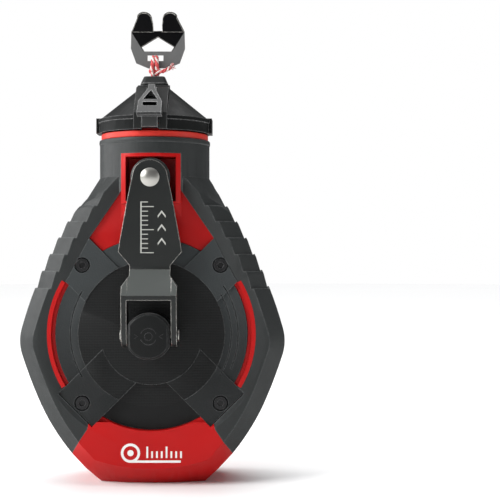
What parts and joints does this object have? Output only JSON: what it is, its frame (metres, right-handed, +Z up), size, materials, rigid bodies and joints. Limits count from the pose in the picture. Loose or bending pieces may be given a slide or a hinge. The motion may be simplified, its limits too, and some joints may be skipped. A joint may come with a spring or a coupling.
{
  "type": "chalk line reel",
  "caption": "Hand-cranked chalk line reel: red housing in black rubber grips, fold-flat steel crank, hinged fill door, geared spool and a bent steel end hook.",
  "frame": {"origin": "centre of the foot's flat underside, below the spool axis", "axes": "+Z up from the foot to the end hook, -Y towards the crank side, +X to the right of a person facing the crank"},
  "size_m": [0.103, 0.0545, 0.185],
  "materials": {
    "red_plastic": "satin moulded red ABS",
    "black_rubber": "matt overmoulded rubber",
    "black_plastic": "textured moulded black nylon",
    "cover_plastic": "dark grey textured moulding",
    "black_steel": "black oxide and coated steel",
    "bright_steel": "bright plated steel",
    "plain_steel": "plain steel",
    "screw_steel": "black zinc plated steel",
    "gear_nylon": "natural nylon",
    "bronze": "sintered bronze",
    "seal_rubber": "red silicone rubber",
    "felt": "pressed wool felt",
    "line_yarn": "twisted red and white line"
  },
  "bodies": {
    "housing": {"front_shell": "red_plastic", "rear_shell": "red_plastic", "front_grip": "black_rubber", "rear_grip": "black_rubber", "cover_screws": "screw_steel", "housing_screws": "screw_steel", "gear_cover": "cover_plastic", "crank_bushing": "bronze", "ring_gear": "gear_nylon", "shaft_bushing": "gear_nylon", "chalk_seal": "felt", "spool_axle": "plain_steel", "axle_clip": "plain_steel", "thrust_washer": "plain_steel", "neck_seal": "seal_rubber", "door_hinge_pin": "plain_steel", "line_run": "line_yarn"},
    "spool_body": {"spool": "black_plastic", "sun_gear": "plain_steel", "line_winding": "line_yarn"},
    "carrier": {"planet_carrier": "plain_steel", "planet_pins": "plain_steel"},
    "planet_1": {"planet_gear_1": "gear_nylon"},
    "planet_2": {"planet_gear_2": "gear_nylon"},
    "planet_3": {"planet_gear_3": "gear_nylon"},
    "hub": {"crank_hub": "black_plastic", "clutch_plate": "plain_steel", "hinge_pins": "bright_steel", "button_spring": "plain_steel"},
    "button": {"push_button": "black_plastic"},
    "arm": {"crank_arm": "black_steel", "knob_rivet": "bright_steel"},
    "knob": {"crank_knob": "black_plastic"},
    "door": {"fill_door": "black_plastic", "line_guide": "cover_plastic", "wiper_felt": "felt", "latch_pin": "plain_steel"},
    "latch": {"door_latch": "black_plastic"},
    "hook": {"line_hook": "black_steel", "line_knot": "line_yarn", "line_lead": "line_yarn"}
  },
  "joints": [
    {"name": "line_pull", "type": "slide", "parent": "door", "child": "hook", "axis": [0, 0, 1], "range_m": [0, 0.038]},
    {"name": "spool_turn", "type": "hinge", "parent": "housing", "child": "spool_body", "pos_m": [0, 0, 0.0583], "axis": [0, 1, 0], "range_deg": [-70, 0]},
    {"name": "carrier_turn", "type": "hinge", "parent": "housing", "child": "carrier", "pos_m": [0, 0, 0.0583], "axis": [0, 1, 0], "range_deg": [-12, 0]},
    {"name": "planet_turn_1", "type": "hinge", "parent": "carrier", "child": "planet_1", "pos_m": [0, -0.009, 0.0703], "axis": [0, 1, 0], "range_deg": [0, 30]},
    {"name": "planet_turn_2", "type": "hinge", "parent": "carrier", "child": "planet_2", "pos_m": [-0.01039, -0.009, 0.0523], "axis": [0, 1, 0], "range_deg": [0, 30]},
    {"name": "planet_turn_3", "type": "hinge", "parent": "carrier", "child": "planet_3", "pos_m": [0.01039, -0.009, 0.0523], "axis": [0, 1, 0], "range_deg": [0, 30]},
    {"name": "crank_turn", "type": "hinge", "parent": "housing", "child": "hub", "pos_m": [0, 0, 0.0583], "axis": [0, 1, 0], "range_deg": [-1.5, 1.5]},
    {"name": "button_push", "type": "slide", "parent": "hub", "child": "button", "axis": [0, 1, 0], "range_m": [0, 0.0015], "stiffness_N_per_m": 300, "springref_m": -0.001, "deforming": ["button_spring"]},
    {"name": "crank_fold", "type": "hinge", "parent": "hub", "child": "arm", "pos_m": [0, -0.0235, 0.0583], "axis": [1, 0, 0], "range_deg": [0, 180]},
    {"name": "knob_spin", "type": "hinge", "parent": "arm", "child": "knob", "pos_m": [0, -0.0165, 0.1184], "axis": [0, 1, 0], "continuous": true},
    {"name": "door_open", "type": "hinge", "parent": "housing", "child": "door", "pos_m": [0, 0.0226, 0.139], "axis": [-1, 0, 0], "range_deg": [0, 105]},
    {"name": "latch_open", "type": "hinge", "parent": "door", "child": "latch", "pos_m": [0, -0.0132, 0.1509], "axis": [-1, 0, 0], "range_deg": [0, 30]}
  ],
  "couplings": [
    {"joint": "spool_turn", "follows": "line_pull", "rad_per_m": -31.447},
    {"joint": "carrier_turn", "follows": "line_pull", "rad_per_m": -5.2411},
    {"joint": "planet_turn_1", "follows": "line_pull", "rad_per_m": 13.103},
    {"joint": "planet_turn_2", "follows": "line_pull", "rad_per_m": 13.103},
    {"joint": "planet_turn_3", "follows": "line_pull", "rad_per_m": 13.103}
  ]
}
